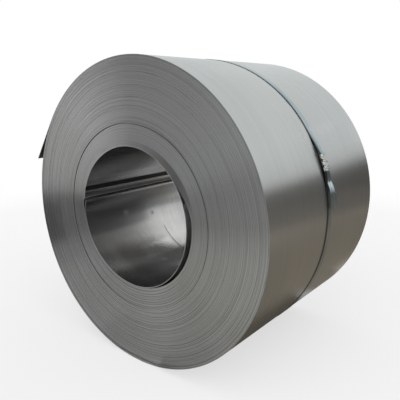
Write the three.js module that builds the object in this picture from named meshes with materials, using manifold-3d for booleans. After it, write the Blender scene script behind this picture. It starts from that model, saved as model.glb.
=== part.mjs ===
// Coil of steel strip lying on its side, held by one steel strap with a crimped seal.
// Millimetres, +Z up. The coil's axis runs along Y, and the origin is on the floor
// under the middle of the axis.
import * as THREE from 'three';
import { mergeVertices } from 'three/addons/utils/BufferGeometryUtils.js';
import Module from 'manifold-3d';

const wasm = await Module();
wasm.setup();

// ---- Coil
const COIL_RADIUS = 540;
const COIL_WIDTH = 770;
const BORE_RADIUS = 254;
const BORE_SAG = 7; // the bore is this much wider, and this much lower, than a true circle
const SAG_FADE = 4; // the higher, the sooner the sag is lost towards the rim
const STRIP = 2; // thickness of the coiled strip
const COIL_SIDES = 120;
const RIM_EASE = 2; // the outermost turns fall back this far from the end face

// Turns that stand back from the end face: share of the way from bore to rim, width, depth
const LOW_TURNS = [
  [0.25, 6, 7],
  [0.315, 4, 3],
  [0.42, 4, 3],
  [0.68, 4, 2],
  [0.79, 5, 4],
  [0.93, 4, 3],
];

// ---- Outer end of the strip, sprung away from the coil
const TAIL_ANGLE = 145; // degrees from +X towards +Z, where the strip leaves the coil
const TAIL_LENGTH = 185;

// ---- Inner end of the strip, and the slack innermost turn
const HEAD_ANGLE = 174; // where the strip begins
const HEAD_LIFT = 6.5; // the head stands in from the turn behind it
const HEAD_RUN = 16; // degrees over which it comes to lie against that turn
const KINK_RUN = 3.4; // degrees over which the turn before it steps out behind the head
const KINK_DEPTH = 10;
const SLACK_GAP = 21; // the innermost turn sags in by this much where the axis is level with it
const SLACK_BELOW = 90; // degrees down from there to where it lies against the coil again
const SLACK_ABOVE = 110; // degrees up from there to where it is back at its full radius
const LEAN_FROM = 6; // from here up, the turns behind it lean in too
const LEAN_TO = 44; // and here they touch it

// ---- Strap and seal
const STRAP_WIDTH = 32;
const STRAP_THICKNESS = 0.9;
const STRAP_UNDERLAP = 22; // the strap's lower end passes this far beyond the seal
const STRAP_TAIL_ANGLE = 4.3; // the strap's upper end springs off and stops here
const STRAP_TAIL_LIFT = 16;
const SEAL_ANGLE = 21;
const SEAL_LENGTH = 57;
const SEAL_WALL = 1;
const SEAL_LIP = 10; // width of each edge folded under the strap
const SEAL_LIFT = 7; // the seal holds the strap this far off the coil
const NOTCH_WIDTH = 8;
const NOTCH_DEPTH = 6;
const NOTCH_SPACING = 20;

// ---- Clearance between pieces that touch
const GAP = 0.3;

// ---- Worked out from the sizes above
const DEGREE = Math.PI / 180;
const SIDE_ANGLE = 360 / COIL_SIDES;
const STRAP_LAYER = STRAP_THICKNESS + GAP;
const STRAP_OFFSET = GAP + STRAP_THICKNESS / 2; // from a surface to the strap's middle
const SEAL_RADIUS = COIL_RADIUS + STRAP_OFFSET + SEAL_LIFT; // to the strap's lower layer

// ---- Helpers for outlines in the plane of the end face, about the coil's axis

function polar(radius, degrees) {
  return new THREE.Vector2(radius * Math.cos(degrees * DEGREE), radius * Math.sin(degrees * DEGREE));
}

function angleOf(point) {
  return Math.atan2(point.y, point.x) / DEGREE;
}

// Share of a full turn, counted from one angle round to another.
function turned(from, to) {
  return THREE.MathUtils.euclideanModulo(to - from, 360) / 360;
}

// Two angles and the coil's corners between them. A flat side, and not a corner, is lowest.
function corners(from, to) {
  const margin = 0.05;
  const first = Math.ceil((from + 90) / SIDE_ANGLE - 0.5 + margin);
  const last = Math.floor((to + 90) / SIDE_ANGLE - 0.5 - margin);
  const angles = [from];
  for (let i = first; i <= last; i += 1) angles.push((i + 0.5) * SIDE_ANGLE - 90);
  return [...angles, to];
}

// Angle between a corner and the point where a taut line from it meets a circle.
function tangentAngle(radius, corner) {
  return Math.acos(radius / corner.length()) / DEGREE;
}

// Direction of the stretch that ends at a point of a line.
function directionAt(points, i) {
  return points[i].clone().sub(points[i - 1]).normalize();
}

// A strip of even thickness along a line of points.
function ribbon(points, thickness) {
  const left = [];
  const right = [];
  points.forEach((point, i) => {
    const ahead = directionAt(points, Math.min(i + 1, points.length - 1));
    const behind = directionAt(points, Math.max(i, 1));
    const along = ahead.clone().add(behind).normalize();
    const side = new THREE.Vector2(-along.y, along.x).multiplyScalar(thickness / 2 / along.dot(ahead));
    left.push(point.clone().add(side));
    right.unshift(point.clone().sub(side));
  });
  return [...left, ...right];
}

// ---- Helpers for solids

function toSolid(geometry) {
  geometry.deleteAttribute('normal');
  geometry.deleteAttribute('uv');
  const merged = mergeVertices(geometry, 1e-4);
  const vertProperties = new Float32Array(merged.attributes.position.array);
  const triVerts = new Uint32Array(merged.index.array);
  return new wasm.Manifold(new wasm.Mesh({ numProp: 3, vertProperties, triVerts }));
}

function toGeometry(solid) {
  const mesh = solid.getMesh();
  const geometry = new THREE.BufferGeometry();
  geometry.setAttribute('position', new THREE.BufferAttribute(mesh.vertProperties, 3));
  geometry.setIndex(new THREE.BufferAttribute(mesh.triVerts, 1));
  geometry.computeVertexNormals();
  return geometry;
}

// An outline of the end plane, run along the coil's axis and centred on its middle.
function alongAxis(points, width) {
  const geometry = new THREE.ExtrudeGeometry(new THREE.Shape(points), { depth: width, bevelEnabled: false });
  geometry.translate(0, 0, -width / 2);
  geometry.rotateX(Math.PI / 2);
  return toSolid(geometry);
}

// ---- The winding: how far each surface of the strip lies from the axis

// The rim grows by one strip in a turn, from under the tail round to its root.
function rimRadius(degrees) {
  return COIL_RADIUS - STRIP * (1 - turned(TAIL_ANGLE, degrees));
}

// The bore has sagged into an oval, and the turns round it less and less.
function sag(radius, degrees) {
  const share = THREE.MathUtils.clamp((COIL_RADIUS - radius) / (COIL_RADIUS - BORE_RADIUS), 0, 1);
  return BORE_SAG * share ** SAG_FADE * Math.cos(2 * degrees * DEGREE);
}

// The bore grows by one strip in a turn from the head.
function boreRadius(degrees) {
  return BORE_RADIUS + sag(BORE_RADIUS, degrees) - STRIP * (1 - turned(HEAD_ANGLE, degrees));
}

// How far the innermost turn sags inward, and how far the turns behind it follow.
function slackInset(degrees) {
  const share = Math.abs(degrees) / (degrees < 0 ? SLACK_BELOW : SLACK_ABOVE);
  return share < 1 ? SLACK_GAP * Math.cos(share * 90 * DEGREE) ** 2 : 0;
}

function leanInset(degrees) {
  return slackInset(degrees) * THREE.MathUtils.smoothstep(degrees, LEAN_FROM, LEAN_TO);
}

function headInset(degrees) {
  return HEAD_LIFT * (1 - (degrees - HEAD_ANGLE) / HEAD_RUN) ** 2;
}

// ---- Coil

// One end face from inside the bore out to the rim, as radius and depth.
function endProfile() {
  const wall = COIL_RADIUS - BORE_RADIUS;
  const points = [[BORE_RADIUS / 2, 0]];
  for (const [share, width, depth] of LOW_TURNS) {
    const radius = BORE_RADIUS + share * wall;
    points.push([radius - width / 2, 0], [radius, depth], [radius + width / 2, 0]);
  }
  points.push([COIL_RADIUS - 4 * RIM_EASE, 0], [COIL_RADIUS, RIM_EASE]);
  return points;
}

// The turned body, with the turns showing on both ends. It is then drawn from true circles
// into the coil's sag, and its rim into a winding that grows by one strip.
function turnedBody() {
  const near = endProfile().map(([radius, depth]) => new THREE.Vector2(radius, depth - COIL_WIDTH / 2));
  const far = near.map((point) => new THREE.Vector2(point.x, -point.y)).reverse();
  const geometry = new THREE.LatheGeometry([...near, ...far, near[0]], COIL_SIDES, SIDE_ANGLE / 2 * DEGREE);
  const corner = new THREE.Vector3();
  const position = geometry.attributes.position;
  for (let i = 0; i < position.count; i += 1) {
    corner.fromBufferAttribute(position, i);
    const circle = Math.hypot(corner.x, corner.z);
    const angle = Math.atan2(corner.z, corner.x) / DEGREE;
    const onRim = circle > COIL_RADIUS - RIM_EASE;
    const scale = (onRim ? rimRadius(angle) : circle + sag(circle, angle)) / circle;
    position.setXYZ(i, corner.x * scale, corner.y, corner.z * scale);
  }
  return toSolid(geometry);
}

// The strip's outer end, which leaves the rim in a straight line.
function tailLine(offset) {
  const root = polar(COIL_RADIUS + offset, TAIL_ANGLE);
  const tip = root.clone().add(polar(TAIL_LENGTH, TAIL_ANGLE + 90));
  return [root, tip];
}

function tailOutline() {
  const rooted = polar(COIL_RADIUS - STRIP, TAIL_ANGLE - SIDE_ANGLE);
  return ribbon([rooted, ...tailLine(-STRIP / 2)], STRIP);
}

// The strip's head, standing in the bore: its front, and its back towards the coil.
function headSide(thickness) {
  const angles = corners(HEAD_ANGLE, HEAD_ANGLE + HEAD_RUN);
  return angles.map((a) => polar(boreRadius(a) - headInset(a) + thickness, a));
}

// The turn behind the head, which stands off at the head and meets it at the end of its run.
function behindHead() {
  return corners(HEAD_ANGLE, HEAD_ANGLE + HEAD_RUN).map((a) => {
    const apart = 1 - (a - HEAD_ANGLE) / HEAD_RUN;
    return polar(boreRadius(a) + STRIP + KINK_DEPTH * apart, a);
  });
}

// The bore, from the head's root round to the kink, and then in behind the head.
function boreOutline() {
  const kink = HEAD_ANGLE + 360 - KINK_RUN;
  const wall = corners(HEAD_ANGLE + HEAD_RUN, kink).map((a) => polar(boreRadius(a) - slackInset(a - 360), a));
  const kinked = [1 / 3, 2 / 3].map((share) => {
    const angle = kink + KINK_RUN * share;
    return polar(boreRadius(angle) + KINK_DEPTH * share, angle);
  });
  const back = headSide(STRIP).slice(0, -1).reverse();
  const front = headSide(0).slice(0, -1);
  return [...wall, ...kinked, ...behindHead(), ...back, ...front];
}

// The gap outside the slack turn.
function slackOutline() {
  const angles = corners(-SLACK_BELOW, LEAN_TO);
  const outer = angles.map((a) => polar(boreRadius(a) + STRIP - leanInset(a), a));
  const inner = angles.slice(1, -1).map((a) => polar(boreRadius(a) + STRIP - slackInset(a), a));
  return [...outer, ...inner.reverse()];
}

function coilSolid() {
  const through = COIL_WIDTH * 1.1;
  return turnedBody()
    .add(alongAxis(tailOutline(), COIL_WIDTH))
    .subtract(alongAxis(boreOutline(), through))
    .subtract(alongAxis(slackOutline(), through));
}

// ---- Strap

// The middle of the strap where it passes through the seal, from its upper to its lower end.
function sealLine(layer) {
  const middle = polar(SEAL_RADIUS + layer * STRAP_LAYER, SEAL_ANGLE);
  const half = SEAL_LENGTH / 2 + 2;
  return [polar(half, SEAL_ANGLE + 90).add(middle), polar(half, SEAL_ANGLE - 90).add(middle)];
}

function strapOnRim(from, to) {
  return corners(from, to).map((a) => polar(rimRadius(a) + STRAP_OFFSET, a));
}

// Clockwise from the lower end above the seal, round the coil and over the strip's tail,
// back over itself through the seal, and out to the sprung upper end.
function strapLine() {
  const rim = COIL_RADIUS + STRAP_OFFSET;
  const [innerTop, innerBottom] = sealLine(0);
  const [outerTop, outerBottom] = sealLine(1);
  const slope = polar(STRAP_UNDERLAP, angleOf(innerTop) + 90 + tangentAngle(rim, innerTop));
  const lowerEnd = innerTop.clone().add(slope);
  const overLowerEnd = lowerEnd.clone().setLength(lowerEnd.length() + STRAP_LAYER * 1.02);
  const tailRoot = tailLine(STRAP_OFFSET)[0];
  const tailTip = tailLine(STRAP_OFFSET)[1].add(polar(STRAP_OFFSET, TAIL_ANGLE + 90));
  const meetsBelow = angleOf(innerBottom) - tangentAngle(rim, innerBottom);
  const leavesTail = angleOf(tailTip) + tangentAngle(rim, tailTip) - 360;
  const meetsAbove = angleOf(overLowerEnd) + tangentAngle(rim, overLowerEnd);
  const below = strapOnRim(leavesTail, meetsBelow).reverse();
  const above = strapOnRim(meetsAbove, TAIL_ANGLE).reverse().slice(1);
  const sprung = new THREE.QuadraticBezierCurve(
    outerBottom,
    outerBottom.clone().add(polar(SEAL_LENGTH, SEAL_ANGLE - 90)),
    polar(COIL_RADIUS + STRAP_TAIL_LIFT, STRAP_TAIL_ANGLE),
  );
  return [
    lowerEnd, innerTop, innerBottom, ...below, tailTip, tailRoot, ...above,
    overLowerEnd, outerTop, ...sprung.getPoints(8),
  ];
}

// ---- Seal, in its own frame: X along the strap, Y across it, Z away from the coil

function inSealFrame(geometry) {
  const middle = polar(SEAL_RADIUS + STRAP_LAYER / 2, SEAL_ANGLE);
  const along = polar(1, SEAL_ANGLE + 90);
  const away = polar(1, SEAL_ANGLE);
  const across = new THREE.Vector3(0, 1, 0);
  const frame = new THREE.Matrix4().makeBasis(
    new THREE.Vector3(-along.x, 0, -along.y), across, new THREE.Vector3(away.x, 0, away.y),
  );
  geometry.applyMatrix4(frame.setPosition(middle.x, 0, middle.y));
  return toSolid(geometry);
}

// A sleeve with its two long edges folded under the strap.
function sealSleeve() {
  const innerHalf = STRAP_WIDTH / 2 + GAP;
  const outerHalf = innerHalf + SEAL_WALL;
  const innerTop = STRAP_LAYER / 2 + STRAP_OFFSET;
  const outerTop = innerTop + SEAL_WALL;
  const lipEnd = outerHalf - SEAL_LIP;
  const half = [
    [lipEnd, -outerTop], [outerHalf, -outerTop], [outerHalf, outerTop],
    [-outerHalf, outerTop], [-outerHalf, -outerTop], [-lipEnd, -outerTop],
    [-lipEnd, -innerTop], [-innerHalf, -innerTop], [-innerHalf, innerTop],
    [innerHalf, innerTop], [innerHalf, -innerTop], [lipEnd, -innerTop],
  ];
  const shape = new THREE.Shape(half.map(([across, up]) => new THREE.Vector2(across, up)));
  const geometry = new THREE.ExtrudeGeometry(shape, { depth: SEAL_LENGTH, bevelEnabled: false });
  geometry.translate(0, 0, -SEAL_LENGTH / 2);
  const frame = new THREE.Matrix4().makeBasis(
    new THREE.Vector3(0, 1, 0), new THREE.Vector3(0, 0, 1), new THREE.Vector3(1, 0, 0),
  );
  geometry.applyMatrix4(frame);
  return inSealFrame(geometry);
}

// The crimp: wedges punched through the edges of the seal and of both layers of strap.
function crimpNotches() {
  const edge = STRAP_WIDTH / 2 + GAP + SEAL_WALL;
  const height = 4 * STRAP_LAYER + 4 * SEAL_WALL;
  const notches = [];
  for (const side of [-1, 1]) {
    for (const end of [-0.5, 0.5]) {
      const middle = end * NOTCH_SPACING;
      const shape = new THREE.Shape([
        new THREE.Vector2(middle, side * (edge - NOTCH_DEPTH)),
        new THREE.Vector2(middle - NOTCH_WIDTH / 2, side * (edge + 1)),
        new THREE.Vector2(middle + NOTCH_WIDTH / 2, side * (edge + 1)),
      ]);
      const geometry = new THREE.ExtrudeGeometry(shape, { depth: height, bevelEnabled: false });
      geometry.translate(0, 0, -height / 2);
      notches.push(inSealFrame(geometry));
    }
  }
  return notches;
}

function cutAll(solid, cutters) {
  return cutters.reduce((rest, cutter) => rest.subtract(cutter), solid);
}

// ---- Materials

const brightStrip = new THREE.MeshStandardMaterial({ color: 0x8a8b89, metalness: 0.95, roughness: 0.32 });
const blueTempered = new THREE.MeshStandardMaterial({ color: 0x4c555c, metalness: 0.8, roughness: 0.38 });
const zincPlated = new THREE.MeshStandardMaterial({ color: 0xc4c8c4, metalness: 0.9, roughness: 0.35 });

// ---- Assembly

const notches = crimpNotches();
const pieces = [
  ['coil', coilSolid(), brightStrip],
  ['strap', cutAll(alongAxis(ribbon(strapLine(), STRAP_THICKNESS), STRAP_WIDTH), notches), blueTempered],
  ['strap_seal', cutAll(sealSleeve(), notches), zincPlated],
];

const bundle = new THREE.Group();
for (const [name, solid, material] of pieces) {
  const mesh = new THREE.Mesh(toGeometry(solid), material);
  mesh.name = name;
  bundle.add(mesh);
}
bundle.position.z = -new THREE.Box3().setFromObject(bundle).min.z;

export default bundle;
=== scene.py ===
# Looks of a steel strip coil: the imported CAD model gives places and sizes, and this
# script builds the finely detailed pieces, their materials, the floor, lights and camera.
import math

import bmesh
import bpy
import numpy as np
from mathutils import Matrix, Vector


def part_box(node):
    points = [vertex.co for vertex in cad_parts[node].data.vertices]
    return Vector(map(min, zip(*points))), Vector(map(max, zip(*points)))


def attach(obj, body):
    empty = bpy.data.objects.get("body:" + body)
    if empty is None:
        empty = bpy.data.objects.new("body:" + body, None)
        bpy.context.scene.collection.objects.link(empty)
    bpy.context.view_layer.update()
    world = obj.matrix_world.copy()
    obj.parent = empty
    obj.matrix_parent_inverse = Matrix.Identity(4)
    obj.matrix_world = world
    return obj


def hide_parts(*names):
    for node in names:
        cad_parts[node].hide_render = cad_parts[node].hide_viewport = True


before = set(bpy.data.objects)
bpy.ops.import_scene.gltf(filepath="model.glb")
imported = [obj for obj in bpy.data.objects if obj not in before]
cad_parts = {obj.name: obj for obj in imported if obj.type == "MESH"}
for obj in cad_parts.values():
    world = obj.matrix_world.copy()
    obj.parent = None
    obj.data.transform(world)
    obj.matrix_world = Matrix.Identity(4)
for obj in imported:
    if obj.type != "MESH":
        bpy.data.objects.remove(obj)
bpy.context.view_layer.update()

COIL_LOW, COIL_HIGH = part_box("coil")
STRAP_LOW, STRAP_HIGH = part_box("strap")

# ---- Coil, in metres and degrees, as the CAD model has it but for the kink
COIL_RADIUS = 0.540
COIL_WIDTH = COIL_HIGH.y - COIL_LOW.y
BORE_RADIUS = 0.254
BORE_SAG = 0.007  # the bore is this much wider, and this much lower, than a true circle
SAG_FADE = 4  # the higher, the sooner the sag is lost towards the rim
STRIP = 0.002  # thickness of the coiled strip
TAIL_ANGLE = 145  # from +X towards +Z, where the strip leaves the coil
TAIL_LENGTH = 0.185
HEAD_ANGLE = 174  # where the strip begins
HEAD_LIFT = 0.0065  # the head stands in from the turn behind it
HEAD_RUN = 16  # degrees over which it comes to lie against that turn
KINK_RUN = 1.6  # the turn behind the head steps out over this, and the CAD model has 3.4
KINK_DEPTH = 0.006  # by this, and the CAD model has 0.010
SLACK_GAP = 0.021  # the innermost turn sags in by this much where the axis is level with it
SLACK_BELOW = 90  # degrees down from there to where it lies against the coil again
SLACK_ABOVE = 110  # degrees up from there to where it is back at its full radius
LEAN_FROM = 6  # from here up, the turns behind it lean in too
LEAN_TO = 44  # and here they touch it

# ---- Coil, what only this script has
CREASE = (162.3, 166.4)  # a dent above the head, from and to
CREASE_DEPTH = 0.0016
LEAN_TURNS = 6  # how many turns lean
RIM_EASE = 0.0003  # how much further back the outermost turns stand

# ---- Strap and seal, as the CAD model has them
STRAP_WIDTH = STRAP_HIGH.y - STRAP_LOW.y
STRAP_THICKNESS = 0.0009
STRAP_UNDERLAP = 0.022  # the strap's lower end passes this far beyond the seal
STRAP_TAIL_ANGLE = 4.3  # the strap's upper end springs off and stops here
STRAP_TAIL_LIFT = 0.016
SEAL_ANGLE = 21
SEAL_LENGTH = 0.057
SEAL_WALL = 0.001
SEAL_LIP = 0.010  # width of each edge folded under the strap
SEAL_LIFT = 0.007  # the seal holds the strap this far off the coil
NOTCH_WIDTH = 0.008
NOTCH_DEPTH = 0.006
NOTCH_SPACING = 0.020
GAP = 0.0003  # between any two pieces

# ---- Strap and seal, what only this script has
STRAP_TWIST = 7  # the sprung end turns about its own length
STRAP_SKEW = 0.014  # and strays this far along the axis
BEND_AT = 0.036  # from the seal to where the sprung end bends out
BEND_LEAN = 11  # degrees that it leans out on the way there
FLICK_LENGTH = 0.0477
FLICK_LEAN = 28
SEAL_BEND = 0.0012  # radius of the sleeve's folds
SEAL_BEND_POINTS = 4  # round each of them
SEAL_RINGS = 39
SEAL_MARGIN = 0.002  # the strap runs straight this far beyond each end of the seal

# ---- Worked out
CAD_SIDE = 3  # degrees between the CAD rim's corners
VISIBLE_RIM = math.cos(math.radians(CAD_SIDE / 2))  # a true circle that touches the CAD rim's flats
RIM_AT_TOP = COIL_RADIUS - STRIP * (1 - (90 - TAIL_ANGLE) % 360 / 360)
AXIS = Vector((0, 0, COIL_HIGH.z - RIM_AT_TOP * VISIBLE_RIM))
HALF_WIDTH = COIL_WIDTH / 2
TURNS = round((COIL_RADIUS - BORE_RADIUS) / STRIP)
STRAP_LAYER = STRAP_THICKNESS + GAP
STRAP_OFFSET = GAP + STRAP_THICKNESS / 2
SEAL_RADIUS = COIL_RADIUS + STRAP_OFFSET + SEAL_LIFT


# ---- The winding, about the axis: angles run from +X towards +Z

def turned(start, degrees):
    """Share of a turn from one angle to another."""
    return ((np.asarray(degrees, float) - start) % 360) / 360


def smooth(low, high, value):
    """0 at one value, 1 at another, and an eased rise between them."""
    share = np.clip((np.asarray(value, float) - low) / (high - low), 0, 1)
    return share * share * (3 - 2 * share)


def polar(radius, degrees):
    angle = np.radians(degrees)
    return np.stack([radius * np.cos(angle), radius * np.sin(angle)], -1)


def rim_radius(degrees):
    """The coil's outside, which grows by one thickness of strip over the last turn."""
    return COIL_RADIUS - STRIP * (1 - turned(TAIL_ANGLE, degrees))


def sag(radius, degrees):
    """How far a turn stands out from its true circle, as the coil slumps."""
    share = np.clip((COIL_RADIUS - radius) / (COIL_RADIUS - BORE_RADIUS), 0, 1)
    return BORE_SAG * share ** SAG_FADE * np.cos(2 * np.radians(degrees))


def slack_inset(degrees):
    """How far the innermost turn sags inward, for angles from -180 to 180."""
    degrees = np.asarray(degrees, float)
    share = np.clip(abs(degrees) / np.where(degrees < 0, SLACK_BELOW, SLACK_ABOVE), 0, 1)
    return SLACK_GAP * np.cos(np.pi / 2 * share) ** 2


def lean_inset(degrees):
    """How far the turns behind the innermost one follow it."""
    return slack_inset(degrees) * smooth(LEAN_FROM, LEAN_TO, degrees)


def head_inset(degrees):
    """How far the head stands in from the turn behind it."""
    return HEAD_LIFT * np.clip(1 - (degrees - HEAD_ANGLE) / HEAD_RUN, 0, 1) ** 2


# ---- Meshes

WELD = 2e-6  # vertices closer than this become one


def placed(points, along):
    """Points of the end plane, about the axis, at places along it."""
    points = np.asarray(points, float)
    along = np.broadcast_to(along, points.shape[:-1])
    return np.stack([points[..., 0] + AXIS.x, along + AXIS.y, points[..., 1] + AXIS.z], -1)


class Soup:
    """Vertices and faces gathered block by block, and welded where blocks meet."""

    def __init__(self):
        self.vertices = []
        self.marks = []
        self.faces = []
        self.count = 0

    def add(self, points, mark=0.0):
        points = np.asarray(points, float)
        flat = points.reshape(-1, 3)
        self.vertices.append(flat)
        self.marks.append(np.broadcast_to(mark, points.shape[:-1]).reshape(-1))
        ids = np.arange(self.count, self.count + len(flat)).reshape(points.shape[:-1])
        self.count += len(flat)
        return ids

    def grid(self, ids):
        quads = np.stack([ids[:-1, :-1], ids[:-1, 1:], ids[1:, 1:], ids[1:, :-1]], -1)
        self.faces.extend(quads.reshape(-1, 4).tolist())

    def tube(self, ids, cap_first=True):
        """Rings of vertices, one a row, joined into a tube. It is closed at its end, and at its
        start too unless it runs on from something there."""
        self.grid(np.concatenate([ids, ids[:, :1]], 1))
        if cap_first:
            self.faces.append(ids[0][::-1].tolist())
        self.faces.append(ids[-1].tolist())

    def mesh(self, name):
        mesh = bpy.data.meshes.new(name)
        mesh.from_pydata(np.concatenate(self.vertices).tolist(), [], self.faces)
        marks = mesh.attributes.new("ring_radius", "FLOAT", "POINT")
        marks.data.foreach_set("value", np.concatenate(self.marks).astype(np.float32))
        work = bmesh.new()
        work.from_mesh(mesh)
        bmesh.ops.remove_doubles(work, verts=work.verts, dist=WELD)
        bmesh.ops.dissolve_degenerate(work, edges=work.edges, dist=WELD)
        bmesh.ops.recalc_face_normals(work, faces=work.faces)
        work.to_mesh(mesh)
        work.free()
        mesh.update()
        return mesh


def new_object(name, data):
    thing = bpy.data.objects.new(name, data)
    bpy.context.scene.collection.objects.link(thing)
    return thing


def make_piece(name, mesh, node, materials, sharp=30):
    mesh.shade_smooth()
    mesh.set_sharp_from_angle(angle=math.radians(sharp))
    for material in materials:
        mesh.materials.append(material)
    piece = new_object(name, mesh)
    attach(piece, "root")
    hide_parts(node)
    return piece


# ---- Shader helpers

class Nodes:
    """Short calls for building one node tree, a material's or the world's. Below, n is one."""

    def __init__(self, name, kind="materials"):
        self.owner = getattr(bpy.data, kind).new(name)
        self.owner.use_nodes = True
        self.tree = self.owner.node_tree
        self.tree.nodes.clear()

    def feed(self, socket, value):
        if isinstance(value, bpy.types.NodeSocket):
            self.tree.links.new(value, socket)
        elif isinstance(value, bpy.types.Node):
            self.tree.links.new(value.outputs[0], socket)
        else:
            socket.default_value = value

    def add(self, kind, *inputs, **settings):
        """A node whose inputs are given in order."""
        node = self.tree.nodes.new("ShaderNode" + kind)
        for key, value in settings.items():
            setattr(node, key, value)
        for socket, value in zip(node.inputs, inputs):
            self.feed(socket, value)
        return node

    def named(self, kind, inputs, **settings):
        """A node whose inputs are given by name or number."""
        node = self.add(kind, **settings)
        for key, value in inputs.items():
            self.feed(node.inputs[key], value)
        return node

    def math(self, operation, *values):
        return self.add("Math", *values, operation=operation).outputs[0]

    def scaled(self, value, factor):
        return self.math("MULTIPLY", value, factor)

    def product(self, first, *others):
        for factor in others:
            first = self.math("MULTIPLY", first, factor)
        return first

    def varied(self, share, change):
        """1 where a share is 0, and 1 plus a change where it is 1."""
        return self.math("MULTIPLY_ADD", share, change, 1.0)

    def hypot(self, a, b):
        return self.math("SQRT", self.math("ADD", self.math("MULTIPLY", a, a), self.math("MULTIPLY", b, b)))

    def ramp(self, value, low, high, to_low=0.0, to_high=1.0, kind="SMOOTHSTEP"):
        return self.add("MapRange", value, low, high, to_low, to_high, interpolation_type=kind).outputs[0]

    def window(self, value, low, high, soft):
        """1 between two values, falling to 0 just outside them."""
        return self.product(self.ramp(value, low - soft, low), self.ramp(value, high, high + soft, 1.0, 0.0))

    def mix(self, share, low, high):
        return self.named("Mix", {0: share, 6: low, 7: high}, data_type="RGBA").outputs[2]

    def toned(self, colour, factor):
        return self.named("VectorMath", {0: colour, "Scale": factor}, operation="SCALE").outputs[0]

    def noise(self, vector, scale, detail, roughness):
        inputs = {"Vector": vector, "Scale": scale, "Detail": detail, "Roughness": roughness}
        return self.named("TexNoise", inputs).outputs[0]

    def line_noise(self, place, detail=0.0):
        inputs = {"W": place, "Scale": 1.0, "Detail": detail}
        return self.named("TexNoise", inputs, noise_dimensions="1D").outputs[0]

    def combine(self, x, y, z):
        return self.add("CombineXYZ", x, y, z).outputs[0]

    def attribute(self, name):
        return self.add("Attribute", attribute_name=name).outputs["Fac"]

    def place(self):
        return self.add("TexCoord").outputs["Object"]

    def bump(self, height, distance, strength):
        return self.named("Bump", {"Strength": strength, "Distance": distance, "Height": height}).outputs[0]

    def output(self, shader, kind="OutputMaterial"):
        self.add(kind, shader)
        return self.owner

    def surface(self, **inputs):
        inputs = {key.replace("_", " "): value for key, value in inputs.items()}
        return self.output(self.named("BsdfPrincipled", inputs))


class CoilNodes(Nodes):
    """The same for a material that goes by its place about the coil's axis."""

    def __init__(self, name):
        super().__init__(name)
        place = self.add("VectorMath", self.place(), tuple(AXIS), operation="SUBTRACT")
        x, self.y, z = self.add("SeparateXYZ", place).outputs
        self.radius = self.hypot(x, z)
        self.cos = self.math("DIVIDE", x, self.radius)
        self.sin = self.math("DIVIDE", z, self.radius)
        turns = self.math("DIVIDE", self.math("ARCTAN2", self.sin, self.cos), math.tau)
        self.turned = self.math("FRACT", turns)
        self.degrees = self.scaled(self.turned, 360.0)
        self.radial = self.combine(self.cos, 0.0, self.sin)
        self.axial = self.combine(0.0, 1.0, 0.0)

    def outward(self):
        """1 on a face that looks away from the axis, and -1 on one that looks towards it."""
        normal = self.add("NewGeometry").outputs["Normal"]
        return self.add("VectorMath", normal, self.radial, operation="DOT_PRODUCT").outputs["Value"]

    def wall_noise(self, around, along, detail, roughness):
        """Noise with a scale of its own round the axis and along it."""
        place = (self.scaled(self.cos, around), self.scaled(self.y, along), self.scaled(self.sin, around))
        return self.noise(self.combine(*place), 1.0, detail, roughness)


def grey(level, tint=(1.0, 1.0, 1.0)):
    return (*(level * t for t in tint), 1.0)


# ---- Materials

SHEET_GREY = 0.447
# The bore's wall is the same strip as the barrel, given a darker grey: painted shade
BORE_SHADE_GREY = 0.37
EDGE_GREY = 0.299

# Bands of painted light and shade on the bore's wall, in place of its reflections and shadows: first and last
# angle, how softly each ends, and how light it is beside the rest
BORE_PAINTED_BANDS = [
    # painted shade on the upper left of the wall
    (136.0, 151.0, 4.0, 0.87),
    # painted light above the crease
    (155.0, 161.8, 2.0, 1.16),
    # the crease's near-black band: painted shade
    (*CREASE, 0.3, 0.03),
    # painted shade under the crease
    (CREASE[1] + 0.3, 168.3, 0.4, 0.56),
    (168.8, 171.7, 0.5, 0.29),  # painted shadow of the step behind the head
    (174.8, 175.5, 0.3, 1.12),  # painted highlight along the head's edge
    # painted highlight on the lower left of the wall
    (230.0, 240.0, 7.0, 1.16),
    # painted shade, darker towards the bottom
    (250.0, 290.0, 10.0, 0.65),
]
# Patches of painted light and shade on it, which also have a first and a last place along the axis and a
# softness there
BORE_PAINTED_PATCHES = [
    ((175.6, 179.0, 1.2), (0.03, 0.5, 0.06), 0.78),
    ((190.0, 202.0, 7.0), (-0.5, -0.13, 0.10), 0.6),
    ((197.0, 204.0, 6.0), (0.02, 0.5, 0.06), 0.93),
    ((222.0, 290.0, 8.0), (-0.5, -0.33, 0.05), 1.35),
    ((231.0, 241.0, 5.0), (-0.17, -0.05, 0.05), 1.36),
    ((240.0, 290.0, 7.0), (-0.26, -0.13, 0.06), 0.78),
]
CREASE_SHADE = (163.0, 166.5, 0.4)  # angles where the crease is made non-metallic, so that its near-black grey paints shade there
SCUFF = (170.2, 173.8, 0.8)  # and of the dull stretch above the head
# Smudges on the bore's wall: angle, place along the axis, radius, and how light each one is
SMUDGES = [(193, -0.19, 0.013, 1.9), (200, -0.045, 0.010, 0.45), (251, -0.15, 0.013, 1.8)]
SCRATCH = (231, 17, -0.012, 0.0024)  # middle angle, half its length in degrees, place, half width
SCRATCH_BOW = 0.003


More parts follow.
